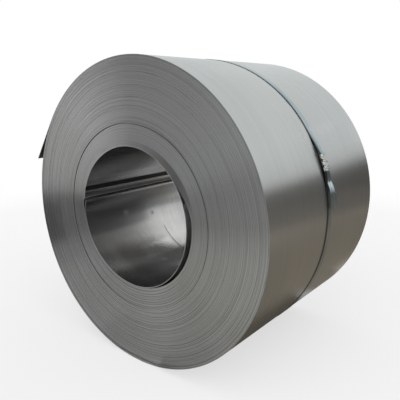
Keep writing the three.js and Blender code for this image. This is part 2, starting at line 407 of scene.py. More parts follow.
def bore_painted_shading(n, in_bore):
    """How light the bore's wall is beside its own grey: painted shade just below the head, and the painted
    light and shade of the bands and patches, the crease's near-black band among them.
    """
    # Painted shade on the wall just below the head, a little less from the middle to the far end
    shade_below_head = n.product(n.ramp(n.degrees, 175.2, 176.6), n.ramp(n.degrees, 183.0, 193.0, 1.0, 0.0))
    painted_shade_patch = n.product(in_bore, shade_below_head, n.ramp(n.y, -0.12, -0.01, 1.0, 0.9))
    tone = n.varied(painted_shade_patch, -0.62)
    for *around, light in BORE_PAINTED_BANDS:
        band = n.product(in_bore, n.window(n.degrees, *around))
        tone = n.product(tone, n.varied(band, light - 1.0))
    for around, along, light in BORE_PAINTED_PATCHES:
        patch = n.product(in_bore, n.window(n.degrees, *around), n.window(n.y, *along))
        tone = n.product(tone, n.varied(patch, light - 1.0))
    return tone


def bore_marks(n, in_bore):
    """The same for what handling has left: ragged smudges and a scratch."""
    speckle = n.noise(n.combine(n.scaled(n.degrees, 1.6), n.scaled(n.y, 360.0), 0.0), 1.0, 2.0, 0.6)
    marks = []
    for angle, place, size, light in SMUDGES:
        around = n.scaled(n.math("SUBTRACT", n.degrees, angle), BORE_RADIUS * math.radians(1))
        away = n.hypot(around, n.math("SUBTRACT", n.y, place))
        ragged = n.math("ADD", away, n.ramp(speckle, 0.3, 0.7, -size * 0.9, size * 0.9))
        marks.append(n.ramp(ragged, size * 0.2, size * 0.9, light, 1.0))
    middle, half, place, width = SCRATCH
    along = n.math("DIVIDE", n.math("SUBTRACT", n.degrees, middle), half)
    bowed = n.math("MULTIPLY_ADD", n.math("MULTIPLY", along, along), SCRATCH_BOW, place)
    off = n.math("ABSOLUTE", n.math("SUBTRACT", n.y, bowed))
    line = n.product(n.ramp(off, width * 0.4, width, 1.0, 0.0), n.window(along, -0.9, 0.9, 0.1))
    marks.append(n.varied(line, -0.85))
    return n.varied(in_bore, n.math("SUBTRACT", n.product(*marks), 1.0))


def painted_shade_and_gap_light(n, in_bore):
    """Painted shade where other steel stands close over the sheet, under the strap and on the inside of the
    tail, and painted light in the gap behind the slack innermost turn.
    """
    outward = n.outward()
    at_rim = n.ramp(n.radius, 0.50, 0.52)
    # Painted shade under the strap and on the inside of the tail
    strap_edge = STRAP_WIDTH / 2 - 0.0004
    shade_under_strap = n.product(at_rim, n.window(n.y, -strap_edge, strap_edge, 0.0012))
    shade_inside_tail = n.product(at_rim, n.ramp(outward, -0.1, -0.3))
    # The gap's two walls, which get painted light: the slack turn's outside, and the turn behind it from -76
    # to 40 degrees
    from_below = n.math("FRACT", n.math("ADD", n.turned, 0.25))
    behind_slack = n.product(n.ramp(n.radius, BORE_RADIUS, BORE_RADIUS + 0.001),
                             n.window(from_below, 0.04, 0.36, 0.01))
    light_in_the_gap = n.product(in_bore, n.math("MAXIMUM", n.ramp(outward, 0.2, 0.4), behind_slack))
    return n.product(n.varied(light_in_the_gap, 1.4), n.varied(shade_under_strap, -0.9), n.varied(shade_inside_tail, -0.85))


def sheet_steel():
    """Bright cold-rolled strip, with faint streaks round the coil, and painted light and shade in the bore
    and where other steel stands close.
    """
    n = CoilNodes("sheet_steel")
    streaks = n.wall_noise(0.6, 90.0, 5.0, 0.7)
    clouds = n.wall_noise(1.3, 2.5, 1.0, 0.5)
    in_bore = n.ramp(n.radius, 0.30, 0.28)
    # The barrel's grey, and in the bore a darker one that paints shade
    grey_with_bore_shade = n.ramp(in_bore, 0.0, 1.0, SHEET_GREY, BORE_SHADE_GREY, "LINEAR")
    level = n.product(grey_with_bore_shade, n.ramp(streaks, 0.3, 0.7, 0.96, 1.04), painted_shade_and_gap_light(n, in_bore),
                      bore_painted_shading(n, in_bore), bore_marks(n, in_bore))
    film = n.mix(n.ramp(clouds, 0.3, 0.7), (0.92, 0.925, 0.92, 1), (1.04, 1.035, 1.02, 1))
    # Painted shade in the crease: the steel there is made non-metallic
    crease_shade = n.product(in_bore, n.window(n.degrees, *CREASE_SHADE))
    scuff = n.product(in_bore, n.window(n.degrees, *SCUFF))
    roughness = n.math("ADD", n.ramp(clouds, 0.3, 0.7, 0.265, 0.29),
                       n.math("MULTIPLY_ADD", scuff, 0.26, n.scaled(in_bore, -0.02)))
    return n.surface(
        Base_Color=n.toned(film, level), Metallic=n.math("SUBTRACT", 1.0, crease_shade), Specular_IOR_Level=0.1,
        Roughness=roughness, Anisotropic=0.66, Tangent=n.axial, Normal=n.bump(streaks, 0.0003, 0.025))


def edge_steel():
    """The strip's sheared edges, packed side by side: each turn has its own grey."""
    n = CoilNodes("edge_steel")
    # Turns counted from the bore: `across` with the place in the turn's thickness, `wound` along the strip
    from_tail = n.math("FRACT", n.math("SUBTRACT", n.turned, TAIL_ANGLE / 360))
    from_rim = n.math("SUBTRACT", n.attribute("ring_radius"), COIL_RADIUS)
    across = n.math("SUBTRACT", n.math("MULTIPLY_ADD", from_rim, 1 / STRIP, TURNS + 1.0), from_tail)
    turn = n.math("FLOOR", across)
    wound = n.math("ADD", turn, from_tail)

    each = n.line_noise(n.scaled(wound, 2.3))
    before = n.line_noise(n.scaled(n.math("SUBTRACT", wound, 1.0), 2.3))
    contrast = n.ramp(n.math("SUBTRACT", each, before), -0.35, 0.35, -0.24, 0.24, "LINEAR")
    group = n.ramp(n.line_noise(n.scaled(wound, 0.52), 1.0), 0.25, 0.75, -0.13, 0.13, "LINEAR")
    marked = n.line_noise(n.math("MULTIPLY_ADD", wound, 1.7, 60.0))
    marks = n.math("ADD", n.ramp(marked, 0.69, 0.73, 0.0, -0.18), n.ramp(marked, 0.24, 0.30, 0.10, 0.0))
    rings = n.math("ADD", marks, n.math("ADD", contrast, group))

    # The rings' contrast is painted stronger towards the lower left, where the light brings them out, and
    # painted shade darkens the outer turns at the left
    lower_left = n.math("COSINE", n.math("MULTIPLY_ADD", n.degrees, math.radians(1), -math.radians(240)))
    painted_shade_patch = n.product(n.window(n.degrees, 185.0, 197.0, 9.0), n.ramp(n.radius, 0.38, 0.47))
    from_middle = n.math("ABSOLUTE", n.math("SUBTRACT", n.math("SUBTRACT", across, turn), 0.5))
    seam = n.ramp(from_middle, 0.42, 0.5, 1.0, 0.45)
    level = n.product(n.varied(rings, n.varied(lower_left, 0.45)), seam, n.varied(painted_shade_patch, -0.33))
    return n.surface(
        Base_Color=n.toned((EDGE_GREY,) * 3, level), Metallic=1.0,
        Roughness=n.ramp(each, 0.3, 0.7, 0.32, 0.37), Anisotropic=1.0, Tangent=n.radial)


def strap_steel():
    """Blued strapping, with painted shade along one edge and underneath, and a painted highlight where its
    end flicks out.
    """
    n = CoilNodes("strap_steel")
    wear = n.wall_noise(6.0, 160.0, 4.0, 0.6)
    blue = n.mix(n.ramp(wear, 0.35, 0.7), (0.24, 0.29, 0.31, 1), (0.42, 0.47, 0.49, 1))
    from_middle = n.math("ADD", n.math("DIVIDE", n.y, STRAP_WIDTH), n.ramp(wear, 0.3, 0.7, -0.05, 0.05))
    flick_highlight = n.product(n.ramp(n.radius, COIL_RADIUS + 0.0055, COIL_RADIUS + 0.0062),
                      n.window(n.degrees, 11.0, 14.2, 1.5))
    # Painted shade along the near edge and on the underside, and a painted highlight at the bend
    tone = n.product(n.ramp(from_middle, -0.30, -0.16, 0.22, 1.0), n.ramp(n.outward(), 0.1, 0.5, 0.12, 1.0),
                     n.varied(flick_highlight, 0.8))
    return n.surface(Base_Color=n.toned(blue, tone), Metallic=1.0,
                     Roughness=n.ramp(wear, 0.3, 0.7, 0.26, 0.36), Anisotropic=0.4, Tangent=n.axial)


def seal_steel():
    """Zinc-plated sleeve with a coarse spangle."""
    n = Nodes("seal_steel")
    spangle = n.noise(n.place(), 190.0, 2.0, 0.7)
    zinc = n.mix(n.ramp(spangle, 0.38, 0.62), grey(0.26, (0.97, 1.02, 0.97)), grey(0.85, (0.99, 1.0, 0.94)))
    pits = n.ramp(n.noise(n.place(), 240.0, 1.0, 0.5), 0.36, 0.42, 0.08, 1.0)
    return n.surface(Base_Color=n.toned(zinc, pits), Metallic=1.0,
                     Roughness=n.ramp(spangle, 0.3, 0.7, 0.24, 0.38))


SHEET = sheet_steel()
EDGE = edge_steel()
STRAP_STEEL = strap_steel()
SEAL_STEEL = seal_steel()


# ---- Coil: one closed body, wound as a spiral with a row of faces for the edge of each turn

EDGE_EASE = 0.0003
TURN_GAP = 0.00012  # half the furrow between one turn's edge and the next
KINK_TURNS = 10  # turns over which the kink and the head's bulge die away
LOOSE_DEPTH = 0.8  # depth of the gap between two leaning turns, for each metre it is wide
END_DEPTH = 0.015  # what lies less deep than this belongs to the end
DRAWS = 3  # how often in a turn the depth of its edge is drawn
EDGE_SCATTER = 0.00004  # scale of the draws for how far an edge stands back
LOW_SHARE = 0.05  # share of them that stand back further
LOW_DEPTH = (0.0001, 0.0003)  # by a draw between these
LEAST_DEPTH = 0.0001  # no edge stands back less than this
SLACK_THINNING = 0.0002  # off the back of the innermost turn, which keeps it clear of the next one
THINNING_RUN = 4  # degrees over which that comes in
SLACK_WAVER = 0.0006  # how far the innermost turn's edges waver back from the ends
WAVER_RUN = 10  # and over which this does
WALL_ROWS = 10  # rows of vertices along the bore's wall, between its edges
RIM_ROWS = 12  # along the barrel, between its edges
TAIL_ROWS = 14  # and out along the tail
SEED = 11

# Furrows round the ends: share of the coil's radius, turns wide, depth, angle where it is deepest,
# and how much of that depth is left on the far side of the coil
FURROWS = [
    (0.603, 2, 0.0045, 140, 0.25), (0.616, 1, 0.0006, 90, 0.2), (0.640, 1, 0.0005, 180, 0.2),
    (0.658, 1, 0.0004, 240, 0.0), (0.693, 1, 0.0004, 10, 0.1), (0.757, 1, 0.0003, 60, 0.1),
    (0.773, 1, 0.0004, 210, 0.0), (0.834, 1, 0.0004, 290, 0.1), (0.866, 1, 0.0004, 200, 0.1),
    (0.890, 1, 0.0005, 90, 0.1), (0.905, 1, 0.0004, 120, 0.2), (0.920, 1, 0.0003, 20, 0.1),
    (0.945, 1, 0.0004, 240, 0.1), (0.966, 1, 0.0006, 120, 0.1), (0.982, 2, 0.0009, 240, 0.1),
    (0.995, 1, 0.0006, 60, 0.3),
]
FURROW_SOFTNESS = 0.08  # turns over which a furrow's sides rise


def columns():
    """Angles round the coil, from the tail's root through one turn, closer together at the kink.
    The one nearest to where the turns stop leaning is moved there."""
    kink_from = HEAD_ANGLE - KINK_RUN
    # Each stop with how many angles there are from it to the next one, counting both
    stops = [(TAIL_ANGLE, 8), (CREASE[0], 7), (CREASE[1], 4), (kink_from, 5), (HEAD_ANGLE, 8),
             (HEAD_ANGLE + HEAD_RUN, 127), (TAIL_ANGLE + 360, 0)]
    parts = [np.linspace(start, end, count) for (start, count), (end, _) in zip(stops, stops[1:])]
    angles = np.unique(np.round(np.concatenate(parts), 6))
    angles[np.argmin(abs(angles - LEAN_TO - 360))] = LEAN_TO + 360
    return angles


def kink(degrees):
    """How far the crease and the head push the turns behind them outward."""
    past_head = (np.asarray(degrees, float) - HEAD_ANGLE) % 360
    bulge = KINK_DEPTH * np.clip(1 - past_head / HEAD_RUN, 0, 1)
    bend = KINK_DEPTH * np.clip((past_head - 360 + KINK_RUN) / KINK_RUN, 0, 1)
    middle, half = sum(CREASE) / 2 - HEAD_ANGLE + 360, (CREASE[1] - CREASE[0]) / 2
    dent = CREASE_DEPTH * np.clip(1 - abs(past_head - middle) / half, 0, 1)
    return np.where(past_head < 180, bulge, np.maximum(bend, dent))


def turn_radius(turn, degrees, leans=1.0):
    """Inner surface of a turn counted from the bore: as wound, and as it lies. TURNS is the rim."""
    place = turn + (degrees - TAIL_ANGLE) / 360
    wound = COIL_RADIUS - STRIP * (TURNS + 1 - place)
    outward = np.clip((wound - BORE_RADIUS) / (COIL_RADIUS - BORE_RADIUS), 0, 1)
    joint = 1 + (LEAN_TO + 360 - TAIL_ANGLE) / 360
    lean = leans * lean_inset(degrees - 360) * np.clip(1 - (place - joint) / LEAN_TURNS, 0, 1)
    lies = wound + sag(wound, degrees) + kink(degrees) * np.clip(1 - (place - 1) / KINK_TURNS, 0, 1) - lean
    return wound, lies * (1 - (1 - VISIBLE_RIM) * outward)


def fine_depth(rng):
    """How far the strip's edge stands back, drawn at even places along it, a few of them deeper."""
    count = DRAWS * (TURNS + 3)
    drawn = abs(rng.normal(0, EDGE_SCATTER, count)) + rng.uniform(0, EDGE_SCATTER, count)
    low = rng.random(count) < LOW_SHARE
    drawn[low] += rng.uniform(*LOW_DEPTH, low.sum())
    return drawn


def edge_depth(drawn, turn, degrees):
    """Depth of a turn's edge below the end plane, more at the left of the coil than at the right."""
    place = turn + (degrees - TAIL_ANGLE) / 360
    at = np.clip(place * DRAWS, 0, len(drawn) - 1.001)
    low = np.floor(at).astype(int)
    share = smooth(0, 1, at - low)
    depth = drawn[low] * (1 - share) + drawn[low + 1] * share
    depth = depth * (0.8 + 0.45 * np.cos(np.radians(degrees - 190)))
    for where, width, deep, angle, left in FURROWS:
        start = (where * COIL_RADIUS - BORE_RADIUS) / STRIP - width / 2
        end = start + width
        past = smooth(end, end + FURROW_SOFTNESS, place)
        inside = smooth(start - FURROW_SOFTNESS, start, place) * (1 - past)
        round_it = left + (1 - left) * (0.5 + 0.5 * np.cos(np.radians(degrees - angle)))
        depth = depth + inside * deep * round_it
    return np.maximum(depth + RIM_EASE * smooth(TURNS - 2, TURNS, place), LEAST_DEPTH)


def end_rows(drawn, side, angles, first_turn):
    """Rows of one end face from the bore outward: two a turn, its inner and its outer edge."""
    points, marks = [], []
    for turn in range(first_turn, TURNS):
        inner_mark, inner = turn_radius(turn, angles)
        outer_mark, outer = turn_radius(turn + 1, angles)
        depth = edge_depth(drawn, turn, angles)
        starts = turn == first_turn
        last = (turn == TURNS - 1) & (angles > angles[0])
        own = np.minimum(outer, inner + STRIP) - np.where(last, EDGE_EASE, TURN_GAP)
        inner = inner + (EDGE_EASE if starts else TURN_GAP)
        along = side * (HALF_WIDTH - depth)
        points += [placed(polar(inner, angles), along), placed(polar(own, angles), along)]
        marks += [inner_mark, outer_mark]
        if turn <= LEAN_TURNS:
            # The gap's two bottom rows close up where the turn that it runs on to has none.
            shut = starts & (angles == angles[0]) | (turn == LEAN_TURNS) & (angles == angles[-1])
            clear = np.maximum(outer - TURN_GAP - own, 0)
            below = HALF_WIDTH - depth - clear * LOOSE_DEPTH
            next_along = HALF_WIDTH - edge_depth(drawn, turn + 1, angles)
            points += [placed(polar(np.where(shut, own, own + TURN_GAP / 2), angles),
                              side * np.where(shut, HALF_WIDTH - depth, below)),
                       placed(polar(np.where(shut, outer + TURN_GAP, own + TURN_GAP + clear), angles),
                              side * np.where(shut, next_along, below))]
            marks += [outer_mark, outer_mark]
    return np.stack(points), np.stack(marks)


def across_rows(radius, depth_near, depth_far, angles, count):
    """Rows of a wall from the near end to the far end."""
    flat = polar(radius, angles)
    near = placed(flat, -(HALF_WIDTH - depth_near - EDGE_EASE))
    far = placed(flat, HALF_WIDTH - depth_far - EDGE_EASE)
    shares = np.linspace(0, 1, count)[:, None, None]
    return near * (1 - shares) + far * shares


def tail_rings(ring):
    """The last turn's section, carried on along a straight line."""
    x, z = polar(1, TAIL_ANGLE + 90)
    return np.stack([ring + np.array([x, 0, z]) * step for step in np.linspace(0, TAIL_LENGTH, TAIL_ROWS)])


def innermost_rings(ring, start):
    """The innermost turn's section, carried back round the bore from an angle to the head."""
    _, base = turn_radius(0, start)
    radial = np.hypot(ring[:, 0] - AXIS.x, ring[:, 2] - AXIS.z) - base
    settles = HEAD_ANGLE + HEAD_RUN
    back = np.concatenate([np.linspace(start, settles, 100)[1:], np.linspace(settles, HEAD_ANGLE, 16)[1:]])
    rings = [ring]
    for angle in back:
        _, nominal = turn_radius(0, angle, leans=0.0)
        radius = nominal - kink(angle) - slack_inset(angle - 360) - head_inset(angle)
        thin = np.where(radial > STRIP / 2, SLACK_THINNING, 0.0) * smooth(start, start - THINNING_RUN, angle)
        deep = SLACK_WAVER * np.sin(np.radians(angle) * 2.3) ** 2 * smooth(start, start - WAVER_RUN, angle)
        y = np.sign(ring[:, 1]) * (abs(ring[:, 1]) - deep)
        rings.append(placed(polar(radius + radial - thin, angle), y))
    return np.stack(rings)


def coil_mesh():
    rng = np.random.default_rng(SEED)
    drawn = {-1: fine_depth(rng), 1: fine_depth(rng)}
    angles = columns()
    joint = int(np.argmin(abs(angles - (LEAN_TO + 360))))
    left, right = angles[:joint + 1], angles[joint:]
    soup = Soup()

    def depth(side, turn, part):
        return edge_depth(drawn[side], turn, part)

    ends = {}
    zeros = {}
    for side in (-1, 1):
        rows, marks = end_rows(drawn[side], side, angles, 1)
        # Left of the joint the bore's wall is turn 1, and its edge is eased; right of it, turn 0.
        _, second = turn_radius(1, angles)
        rows[0] = placed(polar(second + np.where(angles <= angles[joint], EDGE_EASE, TURN_GAP), angles),
                         side * (HALF_WIDTH - depth(side, 1, angles)))
        soup.grid(soup.add(rows, marks))
        inner_mark, inner = turn_radius(0, right)
        outer_mark, outer = turn_radius(1, right)
        along = side * (HALF_WIDTH - depth(side, 0, right))
        zero = [placed(polar(inner + EDGE_EASE, right), along), placed(polar(outer - TURN_GAP, right), along)]
        zero_marks = np.stack([inner_mark, outer_mark, outer_mark])
        soup.grid(soup.add(np.stack([*zero, rows[0][joint:]]), zero_marks))
        ends[side], zeros[side] = rows, zero

    def wall(turn, part, near, far, count):
        """The wall at a turn's inner surface, between its edges on the two ends. At the rim, where
        the turn is TURNS, those are the last turn's edges."""
        _, radius = turn_radius(turn, part)
        edge = min(turn, TURNS - 1)
        rows = across_rows(radius, depth(-1, edge, part), depth(1, edge, part), part, count)
        return np.concatenate([near[None], rows, far[None]])

    wall_left = wall(1, left, ends[-1][0][:joint + 1], ends[1][0][:joint + 1], WALL_ROWS)
    wall_right = wall(0, right, zeros[-1][0], zeros[1][0], WALL_ROWS)
    rim = wall(TURNS, angles, ends[-1][-1], ends[1][-1], RIM_ROWS)
    for rows in (wall_left, wall_right, rim):
        soup.grid(soup.add(rows))

    # The last turn's section: its outside, its inner edges, and the inside, where it lies on the turn below
    last = np.concatenate([ends[-1][-2][-1][None], rim[:, -1], ends[1][-2][-1][None], rim[::-1, 0]])
    soup.tube(soup.add(tail_rings(last), COIL_RADIUS), cap_first=False)
    first = np.concatenate([wall_right[:, 0], [zeros[1][1][0]], wall_left[::-1, -1], [zeros[-1][1][0]]])
    soup.tube(soup.add(innermost_rings(first, angles[joint]), BORE_RADIUS), cap_first=False)
    return soup.mesh("coil")


def on_an_end(mesh):
    """Gives the faces that lie wholly in an end of the coil the second material."""
    at = np.empty(len(mesh.vertices) * 3, np.float32)
    mesh.vertices.foreach_get("co", at)
    deep = abs(at[1::3]) < HALF_WIDTH - END_DEPTH
    slots = [0 if any(deep[v] for v in face.vertices) else 1 for face in mesh.polygons]
    mesh.polygons.foreach_set("material_index", slots)


body = coil_mesh()
make_piece("coil_winding", body, "coil", [SHEET, EDGE], sharp=35)
on_an_end(body)


# ---- Strap, as lines in the end plane about the axis

def tangent_angle(radius, corner):
    """Degrees from a corner to where a line from it touches a circle about the axis."""
    return math.degrees(math.acos(radius / np.hypot(*corner)))


def angle_of(point):
    return math.degrees(math.atan2(point[1], point[0]))


def seal_line(layer):
    """The strap's ends in the seal, above and below, in its lower layer (0) or its upper one (1)."""
    middle = polar(SEAL_RADIUS + layer * STRAP_LAYER, SEAL_ANGLE)
    half = SEAL_LENGTH / 2 + SEAL_MARGIN
    return middle + polar(half, SEAL_ANGLE + 90), middle + polar(half, SEAL_ANGLE - 90)


def straight(start, end, spacing=0.004):
    count = max(2, round(np.hypot(*(end - start)) / spacing))
    return start + (end - start) * np.linspace(0, 1, count, endpoint=False)[:, None]


def strap_on_rim(start, end):
    angles = np.linspace(start, end, max(2, round(abs(end - start) / 0.5)), endpoint=False)
    return polar((rim_radius(angles) + STRAP_OFFSET) * VISIBLE_RIM, angles)


def bezier(start, control, end, count):
    share = np.linspace(0, 1, count)[:, None]
    return start * (1 - share) ** 2 + control * 2 * share * (1 - share) + end * share ** 2


def sprung_end(start):
    """Down from the seal, and out from a bend in a curve to the tip."""
    tip = polar(COIL_RADIUS + STRAP_TAIL_LIFT, STRAP_TAIL_ANGLE)
    bend = start + polar(BEND_AT, BEND_LEAN - 90)
    control = bend + polar(FLICK_LENGTH, FLICK_LEAN - 90)
    eased = bend + (start - bend) * 0.12
    curve = bezier(bend, control, tip, 34)
    return np.concatenate([straight(start, eased, 0.003), bezier(eased, bend, curve[2], 6)[:-1], curve[2:]])


def strap_line():
    """Clockwise from the lower end above the seal, round the coil and over the strip's tail, back
    over itself through the seal, and out to the sprung upper end. Also says where that end starts."""
    rim = COIL_RADIUS + STRAP_OFFSET
    inner_top, inner_bottom = seal_line(0)
    outer_top, outer_bottom = seal_line(1)
    lower_end = inner_top + polar(STRAP_UNDERLAP, angle_of(inner_top) + 90 + tangent_angle(rim, inner_top))
    over_end = lower_end * (1 + STRAP_LAYER * 1.02 / np.hypot(*lower_end))
    offset = polar(STRAP_OFFSET, TAIL_ANGLE)
    tail_root = polar(COIL_RADIUS, TAIL_ANGLE) + offset
    tail_tip = tail_root + polar(TAIL_LENGTH + STRAP_OFFSET, TAIL_ANGLE + 90)
    meets_below = angle_of(inner_bottom) - tangent_angle(rim, inner_bottom)
    leaves_tail = angle_of(tail_tip) + tangent_angle(rim, tail_tip) - 360
    meets_above = angle_of(over_end) + tangent_angle(rim, over_end)
    below = strap_on_rim(meets_below, leaves_tail)
    above = strap_on_rim(TAIL_ANGLE, meets_above)
    sprung = sprung_end(outer_bottom)
    parts = [
        straight(lower_end, inner_top), straight(inner_top, inner_bottom),
        straight(inner_bottom, below[0]), below, straight(below[-1], tail_tip),
        straight(tail_tip, tail_root), above, straight(above[-1], over_end),
        straight(over_end, outer_top), straight(outer_top, outer_bottom), sprung,
    ]
    line = np.concatenate(parts)
    return line, len(line) - len(sprung)


def sides_of(line):
    """Unit vectors square to a line, away from the axis."""
    ahead = np.gradient(line, axis=0)
    ahead /= np.hypot(*ahead.T)[:, None]
    across = np.stack([-ahead[:, 1], ahead[:, 0]], 1)
    return across * np.sign((across * line).sum(1))[:, None]


def strap_section():
    """Corners across the strap and through it, with eased edges."""
    wide, thick, ease = STRAP_WIDTH / 2, STRAP_THICKNESS / 2, STRAP_THICKNESS * 0.3
    edge = [(wide - ease, thick), (wide - ease * 0.3, thick - ease * 0.7), (wide, 0)]
    top = [(-across, up) for across, up in edge[::-1]]
    top += [(-wide * 0.5, thick), (0, thick), (wide * 0.5, thick)] + edge
    return np.array(top + [(across, -up) for across, up in top[-2:0:-1]])


def strap_mesh():
    line, sprung = strap_line()
    for _ in range(2):
        line[1:-1] = (line[:-2] + 2 * line[1:-1] + line[2:]) / 4
    share = np.clip((np.arange(len(line)) - sprung) / (len(line) - 1 - sprung), 0, 1)
    twist = np.radians(STRAP_TWIST) * share ** 1.5
    drawn_in = (STRAP_WIDTH / 2 * np.sin(twist) + STRAP_THICKNESS / 2) * share ** 0.2
    wide, thick = strap_section().T[:, None, :]
    cos, sin = np.cos(twist)[:, None], np.sin(twist)[:, None]
    across = wide * cos - thick * sin + (STRAP_SKEW * share)[:, None]
    lift = wide * sin + thick * cos - drawn_in[:, None]
    soup = Soup()
    soup.tube(soup.add(placed(line[:, None, :] + sides_of(line)[:, None, :] * lift[:, :, None], across)))
    return soup.mesh("strap")


# ---- Seal: a sleeve with its long edges folded under the strap

def seal_frame():
    """From a place along the strap, across it and away from the coil, to where the seal is."""
    sin, cos = math.sin(math.radians(SEAL_ANGLE)), math.cos(math.radians(SEAL_ANGLE))
    turn = Matrix(((sin, 0, cos, 0), (0, 1, 0, 0), (-cos, 0, sin, 0), (0, 0, 0, 1)))
    x, z = polar(SEAL_RADIUS + STRAP_LAYER / 2, SEAL_ANGLE)
    return Matrix.Translation(AXIS + Vector((x, 0, z))) @ turn


SEAL_FRAME = seal_frame()
CLEAR = 0.001  # how far the notch cutters reach past what they cut


def rounded(corners, radius):
    """An outline whose corners are rounded, by less where its sides are short."""
    points = []
    for i, corner in enumerate(corners):
        back, ahead = corners[i - 1] - corner, corners[(i + 1) % len(corners)] - corner
        reach = min(radius, np.hypot(*back) * 0.45, np.hypot(*ahead) * 0.45)
        start = corner + back / np.hypot(*back) * reach
        end = corner + ahead / np.hypot(*ahead) * reach
        points.extend(bezier(start, corner, end, SEAL_BEND_POINTS))
    return np.array(points)


def seal_mesh():
    """Its section is one closed outline, which goes round the outside and back round the inside."""
    inner_half = STRAP_WIDTH / 2 + GAP
    outer_half = inner_half + SEAL_WALL
    inner_top = STRAP_LAYER / 2 + STRAP_OFFSET
    outer_top = inner_top + SEAL_WALL
    lip = outer_half - SEAL_LIP
    corners = np.array([
        [lip, -outer_top], [outer_half, -outer_top], [outer_half, outer_top],
        [-outer_half, outer_top], [-outer_half, -outer_top], [-lip, -outer_top],
        [-lip, -inner_top], [-inner_half, -inner_top], [-inner_half, inner_top],
        [inner_half, inner_top], [inner_half, -inner_top], [lip, -inner_top],
    ])
    section = rounded(corners, SEAL_BEND)
    rings = [[SEAL_FRAME @ Vector((share * SEAL_LENGTH, across, up)) for across, up in section]
             for share in np.linspace(-0.5, 0.5, SEAL_RINGS)]
    soup = Soup()
    soup.tube(soup.add(np.array(rings)))
    return soup.mesh("strap_seal")


def notch_cutters():
    """Wedges that the crimping jaws push through the edges of the seal and the strap."""
    edge = STRAP_WIDTH / 2 + GAP + SEAL_WALL
    height = 2 * STRAP_LAYER + 2 * SEAL_WALL
    soup = Soup()
    for side in (-1, 1):
        for middle in (-NOTCH_SPACING / 2, NOTCH_SPACING / 2):
            wedge = [(middle, side * (edge - NOTCH_DEPTH)), (middle - NOTCH_WIDTH / 2, side * (edge + CLEAR)),
                     (middle + NOTCH_WIDTH / 2, side * (edge + CLEAR))]
            rings = [[SEAL_FRAME @ Vector((x, y, z)) for x, y in wedge] for z in (-height, height)]
            soup.tube(soup.add(np.array(rings)))
    return new_object("cutters", soup.mesh("cutters"))


def cut(mesh, cutters):
    """The mesh with the cutters taken out of it."""
    held = new_object("held", mesh)
    boolean = held.modifiers.new("cut", "BOOLEAN")
    boolean.operation, boolean.solver, boolean.object = "DIFFERENCE", "EXACT", cutters
    result = bpy.data.meshes.new_from_object(held.evaluated_get(bpy.context.evaluated_depsgraph_get()))
    result.name = mesh.name + "_cut"
    bpy.data.objects.remove(held)
    return result


cutters = notch_cutters()
make_piece("strap_band", cut(strap_mesh(), cutters), "strap", [STRAP_STEEL])
make_piece("seal_sleeve", cut(seal_mesh(), cutters), "strap_seal", [SEAL_STEEL])
bpy.data.objects.remove(cutters)


# ---- Camera, light, floor, and the cards that the steel mirrors

CAMERA_PLACE = (1.161, -1.460, 0.9704)
CAMERA_BEARING = 38.84  # degrees to the left of +Y
CAMERA_DIP = 13.17  # and below the horizon
CAMERA_LENS = 42.63
CAMERA_SENSOR = 36
PANEL_PLACE = (0.4, 3.5, 2.9)
PANEL_AIM = (0, 0, 0.7)
PANEL_SIZE = (5.0, 2.2)
PANEL_LEVEL = 0.1  # how bright the panel looks from the front
FLOOR_GREY = 0.92
FLOOR_WASH = 0.6  # how far the floor is washed out to white close by
FLOOR_FADE = (1.0, 3.4)  # and between these distances it turns all white
WORLD_FILL = 0.95  # brightness of the surroundings as a light

PLAIN = (1.0, 1.0, 1.0)
COOL = (0.945, 1.0, 1.0)
PALE = (1.0, 1.0, 0.94)
HAZE = (1.05, 1.0, 0.91)
EARTH = (1.09, 1.0, 0.86)
WARM = (1.12, 1.0, 0.81)


def add_camera():
    data = bpy.data.cameras.new("camera")
    data.lens, data.sensor_width = CAMERA_LENS, CAMERA_SENSOR
    camera = new_object("camera", data)
    camera.location = CAMERA_PLACE
    camera.rotation_euler = (math.radians(90 - CAMERA_DIP), 0, math.radians(CAMERA_BEARING))
    bpy.context.scene.camera = camera


def add_panel():
    """A soft light behind the coil."""
    data = bpy.data.lights.new("back_panel", "AREA")
    data.shape, data.size, data.size_y = "RECTANGLE", *PANEL_SIZE
    data.energy = PANEL_LEVEL * math.pi * PANEL_SIZE[0] * PANEL_SIZE[1]
    lamp = new_object("back_panel", data)
    lamp.location = PANEL_PLACE
    lamp.rotation_euler = (Vector(PANEL_AIM) - Vector(PANEL_PLACE)).to_track_quat("-Z", "Y").to_euler()


def seen_directly(n):
    """1 for what the camera, a mirror or glass sees, and 0 for what lights a surface."""
    path = n.add("LightPath").outputs
    rays = n.math("ADD", path["Is Camera Ray"], path["Is Glossy Ray"])
    return n.math("MINIMUM", n.math("ADD", rays, path["Is Transmission Ray"]), 1.0)


def add_world():
    n = Nodes("studio", "worlds")
    strength = n.ramp(seen_directly(n), 0.0, 1.0, WORLD_FILL, 1.0, "LINEAR")
    bpy.context.scene.world = n.output(n.add("Background", grey(1.0), strength), "OutputWorld")


def floor_material():
    n = Nodes("floor_matte")
    reach = n.add("VectorMath", n.place(), operation="LENGTH").outputs["Value"]
    washed = n.math("MAXIMUM", n.ramp(reach, *FLOOR_FADE), FLOOR_WASH)
    matte = n.add("BsdfDiffuse", grey(FLOOR_GREY), 1.0)
    white = n.add("Emission", grey(1.0), 1.0)
    return n.output(n.add("MixShader", n.math("MULTIPLY", washed, seen_directly(n)), matte, white))


def card_material(name, level, tint, soft):
    n = Nodes(name)
    glow = n.add("Emission", grey(level, tint), 1.0)
    if soft:
        glow = n.add("MixShader", n.ramp(n.attribute("inside"), 0.0, 1.0), n.add("BsdfTransparent"), glow)
    return n.output(glow)


